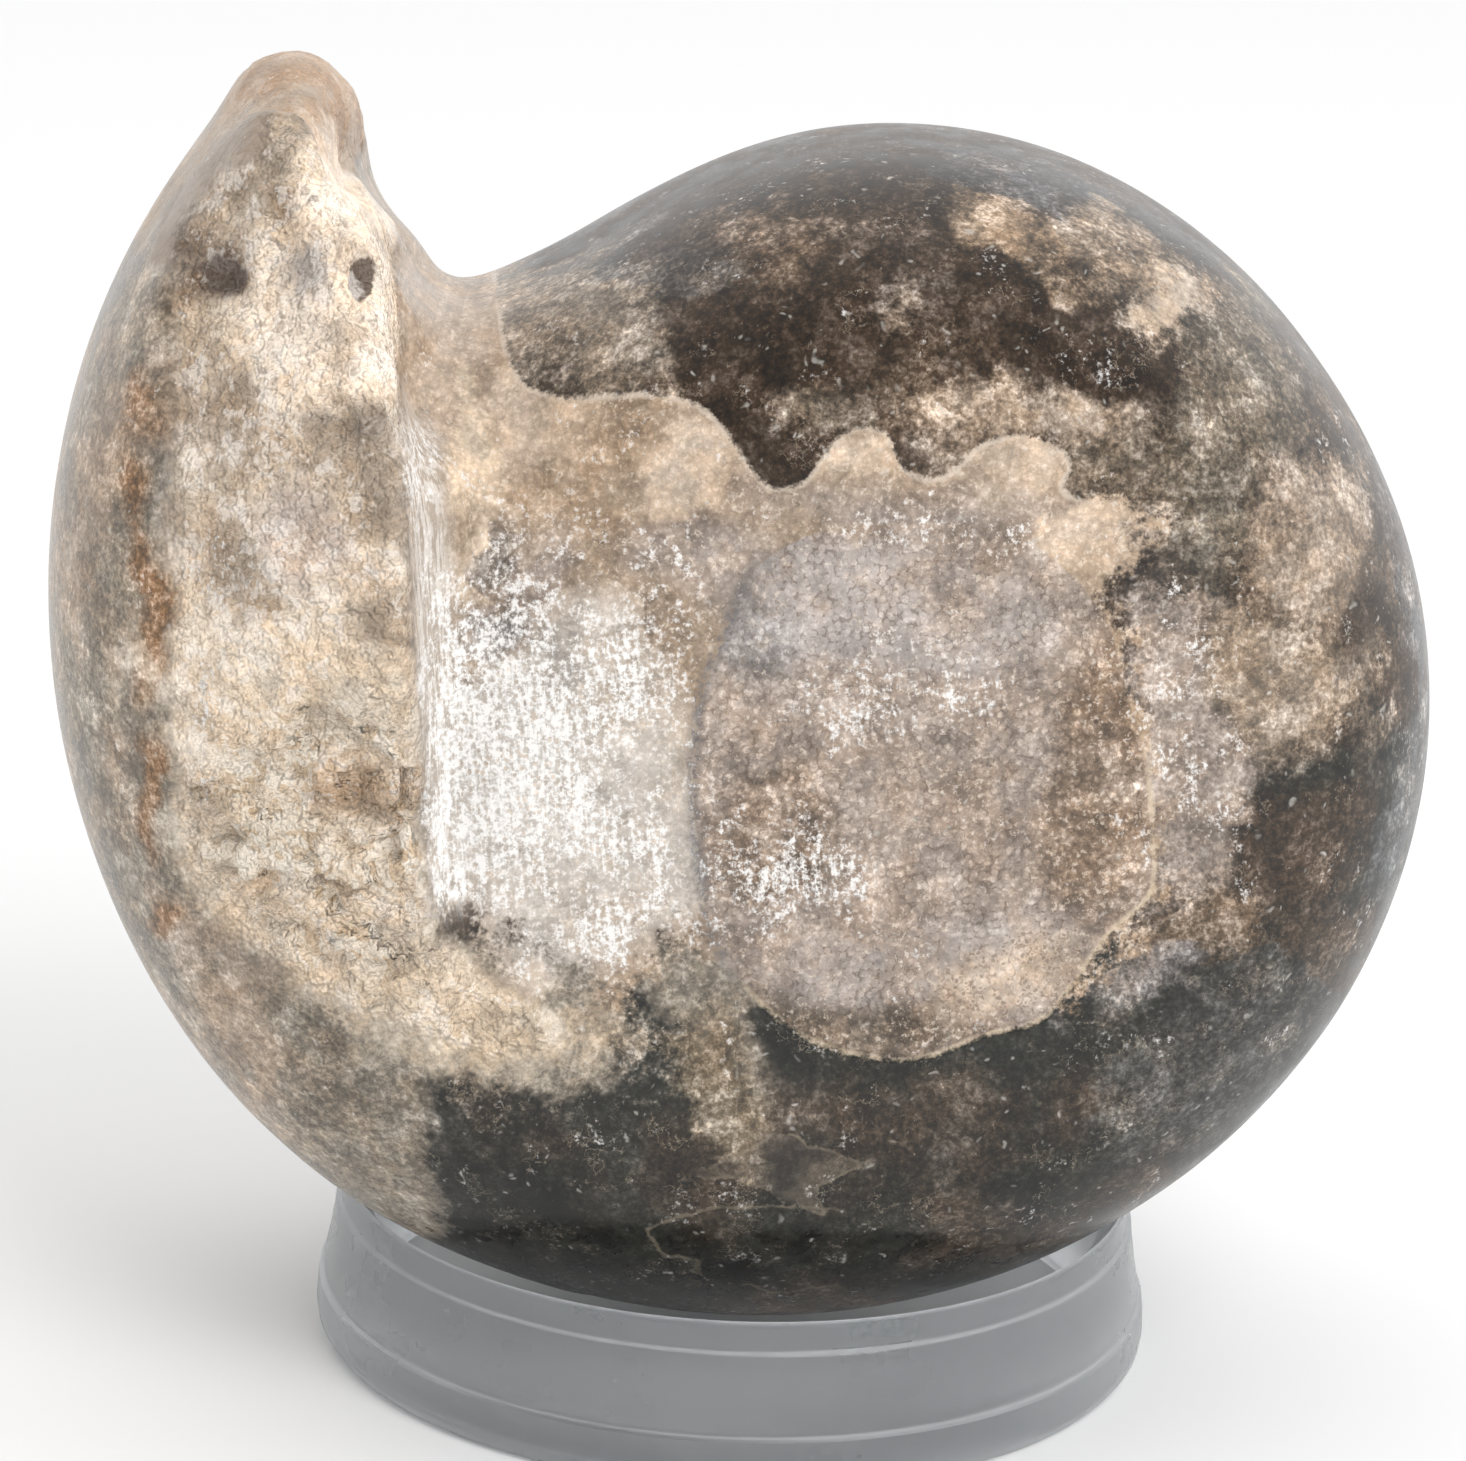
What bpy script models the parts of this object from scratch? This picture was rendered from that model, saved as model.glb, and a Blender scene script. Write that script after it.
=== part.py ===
"""A polished Vascoceras ammonite standing upright on a clear display ring.

The fossil is one solid stone. Its form is a spiral coil, read as a value that is below zero inside
the stone, and a sphere's vertices are moved out along rays until they lie where that value is zero.
The ring is a turned profile. Lengths are in millimetres until a mesh is made, which is in metres.
"""
import math

import bmesh
import bpy
import numpy as np

MM = 0.001
FULL_TURN = 2 * math.pi

# The display ring
RING_HEIGHT = 11.8
RING_FOOT_RADIUS = 30.0
RING_RIM_RADIUS = 28.3
RING_BORE_RADIUS = 26.4
RING_SEAT_DEPTH = 2.3
RING_SEAT_WIDTH = 1.4
RING_EDGE = 0.6
RING_STEPS = 96

# Where the coil's centre stands above the ring's foot and beside its axis, and how far it is turned
COIL_HEIGHT = 51.1
COIL_OFFSET = 5.0
COIL_TURN = math.radians(5.0)

# The coil: an outline whose radius grows by a constant ratio as it turns clockwise
START_RADIUS = 33.75
START_ANGLE = math.radians(141.0)
GROWTH_PER_TURN = 0.5346
UPRIGHT_SQUASH = 0.99

# Where the outline leaves that curve: turn and spread in degrees, and rise in millimetres
SWELLS = (
    (25.0, 18.0, -1.0),
    (75.0, 22.0, 0.3),
    (205.0, 45.0, -0.6),
    (280.0, 20.0, 0.8),
    (370.0, 22.0, -1.2),
)

# The whorl's section: half thickness from the coil's start to its open end, and its squareness
HALF_AT_START = 25.5
HALF_AT_MIDDLE = 29.8
HALF_AT_END = 31.0
BACK_RATIO = 0.96
SECTION_POWER = 2.85

# The older whorl closes under the last one between these two turns, in degrees
CLOSING_START = 272.0
CLOSING_END = 362.0

# The last whorl is broken off along a wall that leans a little to the left as it rises
WALL_AT_CENTRE = -28.9
WALL_LEAN = -0.085
WALL_BEND = -0.010
WALL_BEND_START = 22.0
WALL_SLOPE = 0.65
WALL_BROW = 27.0
WALL_EDGE = 3.0
WALL_FOOT = 2.4
WALL_FOOT_BELOW = 0.5
CHANNEL_FOOT = 14.8

# The tooth that stands above the wall: its blunt end, and the broken facet on its front
TIP_POINT = (-37.3, 41.6)
TIP_NORMAL = (0.50, 0.87)
TIP_EDGE = 4.5
TIP_ARCH = 0.02
FACET_POINT = (-43.4, 36.9, 10.0)
FACET_NORMAL = (-0.53, 0.46, 0.715)
FACET_EDGE = 1.5

# The ground flat on the older whorl, the plug in its middle, and the flat spot underneath
FLAT_AT_CENTRE = 24.4
FLAT_LEAN = -0.06
FLAT_EDGE = 2.5
PLUG_CENTRE = (4.0, -3.0)
PLUG_RADII = (15.6, 19.0)
PLUG_RISE = 0.7
UNDERSIDE = -46.2
UNDERSIDE_EDGE = 1.0

# Hollows in the broken flank: centre, radius and depth
HOLLOWS = (
    ((-34.0, -3.5, 29.5), 6.0, 2.0),
    ((-41.8, 30.8, 21.5), 3.2, 1.8),
    ((-33.0, 31.5, 22.0), 3.0, 1.4),
    ((-37.5, 20.0, 28.0), 5.0, 1.2),
    ((-40.0, -13.5, 27.0), 4.5, 0.9),
    ((-41.5, 12.5, 27.5), 4.0, -0.9),
    ((-36.0, 7.5, 30.0), 5.0, -0.8),
)

# Where the rays start, and the ball that they pass through on their way out
SPINE = (-41.5, -2.0, 0.0)
BALL_CENTRE = (-6.0, -3.0, 0.0)
BALL_RADII = (50.0, 46.0, 30.0)
BALL_SEGMENTS = 88
BALL_RINGS = 40
REACH = 110.0
HALVINGS = 26


def step(x, low, high):
    """Rises smoothly from 0 at low to 1 at high: t * t * (3 - 2 * t)."""
    t = np.clip((x - low) / (high - low), 0, 1)
    return t * t * (3 - 2 * t)


def join_max(a, b, edge):
    """The greater of a and b, with the corner between them rounded over about edge millimetres."""
    near = np.maximum(edge - np.abs(a - b), 0) / edge
    return np.maximum(a, b) + near * near * edge / 4


def join_min(a, b, edge):
    """The smaller of a and b, rounded in the same way."""
    return -join_max(-a, -b, edge)


def whorl(r, w, radius, half):
    """One whorl's section: ((r / radius) ** p + (|w| / half) ** p) ** (1 / p) - 1, as a length."""
    power = SECTION_POWER
    size = ((r / radius) ** power + (np.abs(w) / half) ** power) ** (1 / power)
    return (size - 1) * np.hypot(r, w) / np.maximum(size, 1e-6)


def spiral_radius(turn):
    """The outline's radius after a clockwise turn: start * exp(growth * turn / full turn) + swells."""
    radius = START_RADIUS * np.exp(GROWTH_PER_TURN * turn / FULL_TURN)
    for place, spread, rise in SWELLS:
        radius = radius + rise * np.exp(-((np.degrees(turn) - place) / spread) ** 2)
    return radius


def older_whorl(r, w, turn, side):
    """The coil right of the wall, whose end closes in a smooth step under the last whorl."""
    degrees = np.degrees(turn)
    closing = step(degrees, CLOSING_START, CLOSING_END)
    radius = spiral_radius(turn) * (1 - closing) + spiral_radius(turn - FULL_TURN) * closing
    widening = step(degrees, 0, 200) * (1 - closing)
    half = (HALF_AT_START + (HALF_AT_MIDDLE - HALF_AT_START) * widening) * side
    return whorl(r, w, radius, half)


def last_whorl(u, v, r, w, turn, side):
    """The coil's broken end: the spiral one turn on, cut by the wall, the blunt tip and the facet."""
    turn = np.where(turn < math.radians(150), turn + FULL_TURN, turn)
    degrees = np.degrees(turn)
    half = (HALF_AT_MIDDLE + (HALF_AT_END - HALF_AT_MIDDLE) * step(degrees, 265, 345)) * side
    body = whorl(r, w, spiral_radius(turn), half)
    wall = u - WALL_AT_CENTRE - WALL_LEAN * v - WALL_BEND * np.maximum(v - WALL_BEND_START, 0) ** 2
    wall = wall + WALL_SLOPE * (1 - step(v, 14, 24)) * (np.abs(w) - WALL_BROW)
    body = join_max(body, wall, WALL_EDGE)
    tip = (u - TIP_POINT[0]) * TIP_NORMAL[0] + (v - TIP_POINT[1]) * TIP_NORMAL[1] + TIP_ARCH * w * w
    body = join_max(body, tip, TIP_EDGE)
    facet = sum((c - p) * n for c, p, n in zip((u, v, w), FACET_POINT, FACET_NORMAL))
    return join_max(body, facet, FACET_EDGE)


def stone_value(u, v, w):
    """Below zero inside the stone: u is to the right, v up and w towards the viewer."""
    across = v / UPRIGHT_SQUASH
    r = np.hypot(u, across)
    turn = (START_ANGLE - np.arctan2(across, u)) % FULL_TURN
    side = np.where(w > 0, 1.0, BACK_RATIO)
    older = older_whorl(r, w, turn, side)
    plug = np.hypot((u - PLUG_CENTRE[0]) / PLUG_RADII[0], (v - PLUG_CENTRE[1]) / PLUG_RADII[1])
    flat = np.abs(w) / side - FLAT_AT_CENTRE - FLAT_LEAN * v - PLUG_RISE * (1 - step(plug, 0.82, 1.12))
    older = join_max(older, flat, FLAT_EDGE)
    last = last_whorl(u, v, r, w, turn, side)
    channel = step(v, 12, 26) * (1 - step(np.abs(w), 12, 22))
    foot = WALL_FOOT_BELOW + (WALL_FOOT - WALL_FOOT_BELOW) * step(v, -28, -15)
    both = join_min(older, last, foot + (CHANNEL_FOOT - foot) * channel)
    for (cu, cv, cw), radius, depth in HOLLOWS:
        apart = (u - cu) ** 2 + (v - cv) ** 2 + (w - cw) ** 2
        both = both + depth * np.exp(-apart / radius ** 2)
    return join_max(both, UNDERSIDE - v, UNDERSIDE_EDGE)


def stone_surface(directions):
    """Where rays from the spine through the ball leave the stone, found by halving an interval."""
    spine = np.array(SPINE)
    ahead = np.array(BALL_CENTRE) + directions * np.array(BALL_RADII) - spine
    ahead /= np.linalg.norm(ahead, axis=1)[:, None]
    inside = np.zeros(len(ahead))
    outside = np.full(len(ahead), REACH)
    for _ in range(HALVINGS):
        middle = (inside + outside) / 2
        points = spine + ahead * middle[:, None]
        is_in = stone_value(*points.T) < 0
        inside = np.where(is_in, middle, inside)
        outside = np.where(is_in, outside, middle)
    return spine + ahead * inside[:, None]


def stand(points):
    """Turns the stone's own (u, v, w) into the ring's frame: x right, y back, z up."""
    u, v, w = points.T
    x = COIL_OFFSET + u * math.cos(COIL_TURN) + w * math.sin(COIL_TURN)
    y = u * math.sin(COIL_TURN) - w * math.cos(COIL_TURN)
    return np.stack([x, y, v + COIL_HEIGHT], axis=1)


def new_material(name, colour, roughness, alpha=1.0):
    material = bpy.data.materials.new(name)
    material.use_nodes = True
    shader = material.node_tree.nodes["Principled BSDF"]
    shader.inputs["Base Color"].default_value = (*colour, 1.0)
    shader.inputs["Roughness"].default_value = roughness
    shader.inputs["Metallic"].default_value = 0.0
    shader.inputs["Alpha"].default_value = alpha
    return material


def add_object(name, mesh, material, collection):
    mesh.materials.append(material)
    obj = bpy.data.objects.new(name, mesh)
    collection.objects.link(obj)
    return obj


def build_stone(collection):
    """The fossil: a sphere whose poles face front and back, moved out to the stone's surface."""
    sphere = bmesh.new()
    bmesh.ops.create_uvsphere(sphere, u_segments=BALL_SEGMENTS, v_segments=BALL_RINGS, radius=1.0)
    directions = np.array([vertex.co for vertex in sphere.verts])
    for vertex, place in zip(sphere.verts, stand(stone_surface(directions)) * MM):
        vertex.co = place
    bmesh.ops.recalc_face_normals(sphere, faces=sphere.faces)
    mesh = bpy.data.meshes.new("ammonite")
    sphere.to_mesh(mesh)
    sphere.free()
    mesh.shade_smooth()
    return add_object("ammonite", mesh, new_material("calcite", (0.20, 0.15, 0.11), 0.25), collection)


def ring_profile():
    """The ring's section as (radius, height), from the bore's upper edge round the outside."""
    waist = 0.55 * RING_FOOT_RADIUS + 0.45 * RING_RIM_RADIUS
    return (
        (RING_BORE_RADIUS, RING_HEIGHT - RING_SEAT_DEPTH),
        (RING_BORE_RADIUS + RING_SEAT_WIDTH, RING_HEIGHT - RING_EDGE / 2),
        (RING_RIM_RADIUS - RING_EDGE / 3, RING_HEIGHT - RING_EDGE / 4),
        (RING_RIM_RADIUS, RING_HEIGHT - RING_EDGE),
        (RING_RIM_RADIUS + 0.2, RING_HEIGHT * 0.8),
        (waist, RING_HEIGHT * 0.5),
        (RING_FOOT_RADIUS - 0.2, RING_HEIGHT * 0.28),
        (RING_FOOT_RADIUS, RING_HEIGHT * 0.12),
        (RING_FOOT_RADIUS - RING_EDGE, 0.0),
        (RING_BORE_RADIUS + RING_EDGE / 2, 0.0),
        (RING_BORE_RADIUS, RING_EDGE / 2),
    )


def build_ring(collection):
    """The clear acrylic ring that the fossil stands in, turned about its own axis."""
    profile = ring_profile()
    count = len(profile)
    mesh = bpy.data.meshes.new("stand_ring")
    corners = [(radius * MM, 0.0, height * MM) for radius, height in profile]
    mesh.from_pydata(corners, [(i, (i + 1) % count) for i in range(count)], [])
    obj = add_object("stand_ring", mesh, new_material("acrylic", (0.82, 0.84, 0.85), 0.08, 0.35), collection)
    screw = obj.modifiers.new("Turn", "SCREW")
    screw.axis = "Z"
    screw.angle = FULL_TURN
    screw.steps = RING_STEPS
    screw.render_steps = RING_STEPS
    screw.use_merge_vertices = True
    screw.merge_threshold = 0.00001
    screw.use_smooth_shade = True
    return obj


def centre_on_origin(stone, ring):
    """Slides both pieces sideways, so that the middle of their common box is above the origin."""
    places = np.array([vertex.co for vertex in stone.data.vertices])
    foot = RING_FOOT_RADIUS * MM
    low = np.minimum(places.min(axis=0), -foot)
    high = np.maximum(places.max(axis=0), foot)
    shift = -(low + high) / 2
    for obj in (stone, ring):
        obj.location = (shift[0], shift[1], 0.0)


def main():
    for obj in list(bpy.data.objects):
        bpy.data.objects.remove(obj, do_unlink=True)
    collection = bpy.data.collections.new("vascoceras_ammonite")
    bpy.context.scene.collection.children.link(collection)
    stone = build_stone(collection)
    ring = build_ring(collection)
    centre_on_origin(stone, ring)


main()
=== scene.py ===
"""The looks of a polished Vascoceras ammonite that stands in a clear display ring."""
import math

import bpy
import mathutils
import numpy as np
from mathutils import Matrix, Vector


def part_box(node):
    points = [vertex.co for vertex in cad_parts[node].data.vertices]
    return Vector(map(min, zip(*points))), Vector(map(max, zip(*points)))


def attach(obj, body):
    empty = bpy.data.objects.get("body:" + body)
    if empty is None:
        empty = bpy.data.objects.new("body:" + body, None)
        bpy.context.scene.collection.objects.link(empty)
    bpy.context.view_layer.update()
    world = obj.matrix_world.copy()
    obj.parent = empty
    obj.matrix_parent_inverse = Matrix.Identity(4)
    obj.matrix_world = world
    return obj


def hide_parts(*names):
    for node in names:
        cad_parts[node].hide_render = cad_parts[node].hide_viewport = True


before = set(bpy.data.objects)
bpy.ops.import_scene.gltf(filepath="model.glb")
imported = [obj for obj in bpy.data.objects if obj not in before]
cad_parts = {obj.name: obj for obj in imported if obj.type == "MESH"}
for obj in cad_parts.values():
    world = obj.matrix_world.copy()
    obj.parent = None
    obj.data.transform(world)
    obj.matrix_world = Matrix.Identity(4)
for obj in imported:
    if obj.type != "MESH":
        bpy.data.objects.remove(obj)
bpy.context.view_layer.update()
MM = 0.001
FULL_TURN = 2 * math.pi
ring_low, ring_high = (np.array(corner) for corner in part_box("stand_ring"))
ring_foot = np.array([(ring_low[0] + ring_high[0]) / 2, (ring_low[1] + ring_high[1]) / 2, ring_low[2]])


# The ammonite's form
# The real piece is one calcite cast of a thick coiled shell, ground and polished after it was dug out.
# Its form is a value below zero inside the stone, in millimetres: u to the right, v up, w to the front.

def step(x, low, high):
    """Rises smoothly from 0 at low to 1 at high: t * t * (3 - 2 * t)."""
    t = np.clip((x - low) / (high - low), 0, 1)
    return t * t * (3 - 2 * t)


def join_max(a, b, edge):
    """The greater of a and b, with the corner between them rounded over about edge millimetres."""
    near = np.maximum(edge - np.abs(a - b), 0) / edge
    return np.maximum(a, b) + near * near * edge / 4


def join_min(a, b, edge):
    """The smaller of a and b, rounded in the same way."""
    return -join_max(-a, -b, edge)


def whorl(r, w, radius, half):
    """One whorl's section: ((r / radius) ** p + (|w| / half) ** p) ** (1 / p) - 1, as a length."""
    power = 2.85
    size = ((r / radius) ** power + (np.abs(w) / half) ** power) ** (1 / power)
    return (size - 1) * np.hypot(r, w) / np.maximum(size, 1e-6)


def spiral_radius(turn):
    """The outline's radius after a clockwise turn: start * exp(growth * turn / full turn) + swells."""
    start_radius = 33.75
    growth_per_turn = 0.5346
    # Turn and spread in degrees, and rise in millimetres
    swells = (
        (25.0, 18.0, -1.0),
        (75.0, 22.0, 0.3),
        (205.0, 45.0, -0.6),
        (280.0, 20.0, 0.8),
        (370.0, 22.0, -1.2),
    )
    radius = start_radius * np.exp(growth_per_turn * turn / FULL_TURN)
    for place, spread, rise in swells:
        radius = radius + rise * np.exp(-((np.degrees(turn) - place) / spread) ** 2)
    return radius


half_at_start, half_at_middle, half_at_end = 25.5, 29.8, 31.0
back_ratio = 0.96


def older_whorl(r, w, turn, side):
    """The coil right of the wall, whose end closes in a smooth step under the last whorl."""
    degrees = np.degrees(turn)
    closing_start, closing_end = 272, 362
    closing = step(degrees, closing_start, closing_end)
    radius = spiral_radius(turn) * (1 - closing) + spiral_radius(turn - FULL_TURN) * closing
    widening = step(degrees, 0, 200) * (1 - closing)
    return whorl(r, w, radius, (half_at_start + (half_at_middle - half_at_start) * widening) * side)


def wall_line(v):
    """How far right the broken wall's brow lies at a height."""
    at_centre, lean, bend, bend_start = -28.9, -0.085, -0.010, 22
    return at_centre + lean * v + bend * np.maximum(v - bend_start, 0) ** 2


def last_whorl(u, v, r, w, turn, side):
    """The coil's broken end: the spiral one turn on, cut by the wall, the blunt tip and the facet."""
    wall_edge, tip_edge, facet_edge = 1.6, 4.5, 0.6
    tip_at, tip_slope, tip_bow = (-37.3, 41.6), (0.50, 0.87), 0.02
    facet_at, facet_slope = (-43.4, 36.9, 10), (-0.53, 0.46, 0.715)
    wall_slope, wall_brow = 0.65, 27
    turn = np.where(turn < math.radians(150), turn + FULL_TURN, turn)
    half = (half_at_middle + (half_at_end - half_at_middle) * step(np.degrees(turn), 265, 345)) * side
    body = whorl(r, w, spiral_radius(turn), half)
    slope = wall_slope * (1 - step(v, 14, 24))
    body = join_max(body, u - wall_line(v) + slope * (np.abs(w) - wall_brow), wall_edge)
    tip = (u - tip_at[0]) * tip_slope[0] + (v - tip_at[1]) * tip_slope[1] + tip_bow * w * w
    body = join_max(body, tip, tip_edge)
    facet = sum(slope * (x - at) for slope, x, at in zip(facet_slope, (u, v, w), facet_at))
    return join_max(body, facet, facet_edge)


# Hollows and lumps of the broken flank: centre, radius and depth
flank_hollows = (
    ((-34.0, -3.5, 29.5), 6.0, 2.0),
    ((-41.8, 30.8, 21.5), 3.2, 1.8),
    ((-33.0, 31.5, 22.0), 3.0, 1.4),
    ((-37.5, 20.0, 28.0), 5.0, 1.2),
    ((-40.0, -13.5, 27.0), 4.5, 0.9),
    ((-41.5, 12.5, 27.5), 4.0, -0.9),
    ((-36.0, 7.5, 30.0), 5.0, -0.8),
)


def stone_value(u, v, w):
    """Below zero inside the stone."""
    upright_squash = 0.99
    start_angle = math.radians(141)
    flat_at_centre, flat_lean, flat_edge = 24.4, 0.06, 2.5
    (plug_u, plug_v), (plug_wide, plug_high), plug_rise = (4.0, -3.0), (15.6, 19.0), 0.7
    foot_below, foot_rise, channel_foot = 0.5, 1.9, 14.8
    underside, underside_edge = -46.2, 1.0
    across = v / upright_squash
    r = np.hypot(u, across)
    turn = (start_angle - np.arctan2(across, u)) % FULL_TURN
    side = np.where(w > 0, 1.0, back_ratio)
    plug = np.hypot((u - plug_u) / plug_wide, (v - plug_v) / plug_high)
    on_plug = 1 - step(plug, 0.82, 1.12)
    flat = np.abs(w) / side - flat_at_centre + flat_lean * v - plug_rise * on_plug
    older = join_max(older_whorl(r, w, turn, side), flat, flat_edge)
    last = last_whorl(u, v, r, w, turn, side)
    channel = step(v, 12, 26) * (1 - step(np.abs(w), 12, 22))
    foot = foot_below + foot_rise * step(v, -28, -15)
    both = join_min(older, last, foot + (channel_foot - foot) * channel)
    for (cu, cv, cw), radius, depth in flank_hollows:
        apart = (u - cu) ** 2 + (v - cv) ** 2 + (w - cw) ** 2
        both = both + depth * np.exp(-apart / radius ** 2)
    return join_max(both, underside - v, underside_edge)


# The ammonite's surface
# A ball of vertices, close together on the front, is moved out along rays from a point inside the stone.

rings, segments = 192, 512


def ball_directions():
    """Points of a unit ball in rings from the front pole back: angle = pi * (i / rings) ** 1.25."""
    crowding = 1.25
    down = math.pi * (np.arange(1, rings) / rings) ** crowding
    around = np.arange(segments) * FULL_TURN / segments
    down, around = np.meshgrid(down, around, indexing="ij")
    wide = np.sin(down)
    body = np.stack([wide * np.cos(around), wide * np.sin(around), np.cos(down)], axis=-1)
    return np.concatenate([[[0, 0, 1]], body.reshape(-1, 3), [[0, 0, -1]]])


def surface_points(directions):
    """Where the rays leave the stone, found by halving an interval."""
    spine = np.array([-41.5, -2.0, 0.0])
    ball_centre, ball_radii = np.array([-6.0, -3.0, 0.0]), np.array([50.0, 46.0, 30.0])
    farthest, halvings = 110.0, 24
    ahead = ball_centre + directions * ball_radii - spine
    ahead /= np.linalg.norm(ahead, axis=1)[:, None]
    inside, outside = np.zeros(len(ahead)), np.full(len(ahead), farthest)
    for _ in range(halvings):
        middle = (inside + outside) / 2
        is_in = stone_value(*(spine + ahead * middle[:, None]).T) < 0
        inside = np.where(is_in, middle, inside)
        outside = np.where(is_in, outside, middle)
    return spine + ahead * inside[:, None]


def ball_faces():
    """Quads between the rings and triangles at the poles, all facing out."""
    i, j = np.meshgrid(np.arange(rings - 2), np.arange(segments), indexing="ij")
    here = 1 + i * segments + j
    beside = 1 + i * segments + (j + 1) % segments
    quads = np.stack([here, here + segments, beside + segments, beside], axis=-1).reshape(-1, 4)
    first = 1 + np.arange(segments)
    last = first + (rings - 2) * segments
    after = 1 + (np.arange(segments) + 1) % segments
    front = np.stack([np.zeros_like(first), first, after], axis=-1)
    pole = np.full_like(first, 1 + (rings - 1) * segments)
    back = np.stack([pole, after + (rings - 2) * segments, last], axis=-1)
    return front, quads, back


def ball_normals(points):
    """Each vertex's outward direction, from the field's slope over a tenth of a millimetre."""
    reach = 0.1
    slope = np.empty_like(points)
    for axis in range(3):
        move = np.zeros(3)
        move[axis] = reach
        slope[:, axis] = stone_value(*(points + move).T) - stone_value(*(points - move).T)
    return slope / np.linalg.norm(slope, axis=1)[:, None]


def lattice_value(cell, seed):
    """A repeatable number from 0 to 1 for each whole-numbered cell."""
    x, y, z = (cell[..., axis].astype(np.int64) for axis in range(3))
    n = (x * 73856093) ^ (y * 19349663) ^ (z * 83492791) ^ (seed * 2654435761)
    n = (n ^ (n >> 13)) * 1274126177 & 0x7FFFFFFF
    return ((n ^ (n >> 16)) & 0xFFFF) / 65535.0


def noise(points, size, seed):
    """Smooth noise from -1 to 1 whose lumps are about size millimetres wide."""
    place = points / size
    cell = np.floor(place)
    t = place - cell
    t = t * t * (3 - 2 * t)
    total = 0.0
    for corner in np.ndindex(2, 2, 2):
        share = np.prod(np.where(np.array(corner) == 1, t, 1 - t), axis=-1)
        total = total + share * lattice_value(cell + np.array(corner), seed)
    return total * 2 - 1


def fractal(points, size, octaves, seed):
    """Noise added to itself at half the size and half the height, octaves times."""
    return sum(noise(points, size / 2 ** k, seed + k) / 2 ** k for k in range(octaves))


def rounded(points, closed, per_span=6):
    """A smooth curve through the points, by cubic spans whose tangents join each point's neighbours."""
    points = np.array(points, dtype=float)
    if closed:
        padded = np.concatenate([points[-1:], points, points[:2]])
    else:
        padded = np.concatenate([points[:1], points, points[-1:]])
    t = np.arange(per_span)[:, None] / per_span
    curve = []
    for a, b, c, d in zip(padded, padded[1:], padded[2:], padded[3:]):
        square, cube = 2 * a - 5 * b + 4 * c - d, 3 * b - a - 3 * c + d
        cubic = (2 * b) + (c - a) * t + square * t ** 2 + cube * t ** 3
        curve.append(cubic / 2)
    return np.concatenate(curve if closed else curve + [points[-1:]])


def line_distance(u, v, line):
    """The distance in millimetres from each (u, v) to the nearest stretch of a line."""
    nearest = np.full(u.shape, np.inf)
    for (au, av), (bu, bv) in zip(line, line[1:]):
        run, rise = bu - au, bv - av
        along = ((u - au) * run + (v - av) * rise) / (run ** 2 + rise ** 2 + 1e-12)
        along = np.clip(along, 0, 1)
        nearest = np.minimum(nearest, np.hypot(u - au - along * run, v - av - along * rise))
    return nearest


def outline_depth(u, v, loop):
    """How deep each (u, v) lies inside a closed outline in millimetres, below zero outside."""
    inside = np.zeros(u.shape, dtype=bool)
    closed = np.concatenate([loop, loop[:1]])
    for (au, av), (bu, bv) in zip(closed, closed[1:]):
        crosses = (av > v) != (bv > v)
        inside ^= crosses & (u < au + (v - av) * (bu - au) / (bv - av + 1e-12))
    return np.where(inside, 1, -1) * line_distance(u, v, closed)


base_points = surface_points(ball_directions())
outward = ball_normals(base_points)
u, v, w = base_points.T
front = step(w, -4, 4)
back_side = 1 - front
warp_u = u + 2.0 * fractal(base_points, 8.0, 4, 11)
warp_v = v + 2.0 * fractal(base_points, 8.0, 4, 23)

# Outlines on the shown face, each followed from the photograph, in millimetres
suture_points = (
    (-24.0, 50.0), (-24.2, 30.0), (-24.2, 24.6), (-23.1, 22.1), (-21.7, 21.6), (-19.7, 21.7),
    (-15.3, 22.6), (-12.0, 22.5), (-10.1, 21.2), (-8.4, 19.0), (-6.9, 17.5), (-5.0, 17.6),
    (-3.9, 18.7), (-2.4, 20.9), (-0.6, 21.6), (0.8, 21.0), (1.9, 18.9), (3.9, 18.3), (5.4, 19.1),
    (6.9, 20.6), (9.3, 21.3), (11.6, 20.9), (12.8, 19.5), (12.3, 17.9), (14.2, 17.0), (17.6, 16.4),
    (18.2, 14.6), (16.6, 12.0),
)
disc_points = (
    (-7.8, 11.7), (-9.6, 7.1), (-10.9, 3.0), (-11.2, -2.5), (-10.5, -8.0), (-9.1, -13.6),
    (-6.2, -17.2), (-2.4, -19.9), (2.1, -21.0), (5.5, -20.7), (9.0, -19.2), (12.7, -18.2),
    (14.9, -15.4), (17.0, -12.1), (19.7, -9.4), (19.7, -5.6), (18.9, 0.0), (17.3, 4.5), (15.7, 9.3),
    (12.3, 13.1), (8.3, 15.3), (3.1, 15.5), (-2.1, 15.1), (-5.4, 13.8),
)
ground_foot_points = (
    (-9.1, -13.6), (-12.0, -13.5), (-14.0, -15.6), (-16.3, -16.6), (-19.5, -16.4), (-23.6, -14.7),
    (-27.2, -11.0),
)
dark_flank_points = (
    (-27.5, -60.0), (-27.1, -39.9), (-27.2, -33.7), (-28.2, -28.2), (-28.2, -23.2), (-25.0, -22.8),
    (-22.1, -23.7), (-18.6, -23.9), (-16.4, -23.2), (-15.4, -20.2), (-16.0, -17.0), (-14.1, -15.9),
    (-12.1, -18.2), (-10.7, -20.6), (-9.1, -23.3), (-8.1, -25.9), (-6.7, -27.5), (-4.6, -26.8),
    (-4.4, -24.3), (-5.8, -21.4), (-6.9, -17.9), (0.0, -10.0), (18.4, -11.9), (22.3, -10.1),
    (22.6, -6.4), (22.2, -2.9), (24.2, -0.8), (29.4, -0.1), (35.4, 0.6), (39.2, 1.4), (60.0, 1.0),
    (60.0, -60.0),
)
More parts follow.
